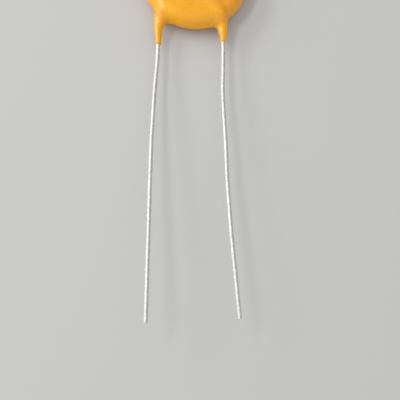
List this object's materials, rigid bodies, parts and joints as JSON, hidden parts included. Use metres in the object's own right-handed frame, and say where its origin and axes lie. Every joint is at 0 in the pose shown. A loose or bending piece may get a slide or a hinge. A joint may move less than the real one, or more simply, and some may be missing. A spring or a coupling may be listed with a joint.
{
  "type": "ceramic disc capacitor",
  "caption": "Dip-coated ceramic disc capacitor lying on its back, with its epoxy coat run down onto straight tinned wire leads.",
  "frame": {"origin": "centre of the small flat on the coating's back, on the axis of the disc; the part lies on this flat", "axes": "+Z out of the front face of the disc, +Y away from the leads, so the leads run along -Y, and +X to the right seen from the front"},
  "size_m": [0.0169, 0.0614, 0.0062],
  "materials": {
    "epoxy_coat": "satin",
    "ceramic": "matte",
    "fired_silver": "matte",
    "solder": "satin",
    "tinned_wire": "satin"
  },
  "bodies": {
    "root": {"coating": "epoxy_coat", "ceramic_disc": "ceramic", "front_electrode": "fired_silver", "back_electrode": "fired_silver", "front_solder": "solder", "back_solder": "solder", "left_lead": "tinned_wire", "right_lead": "tinned_wire"}
  },
  "joints": []
}
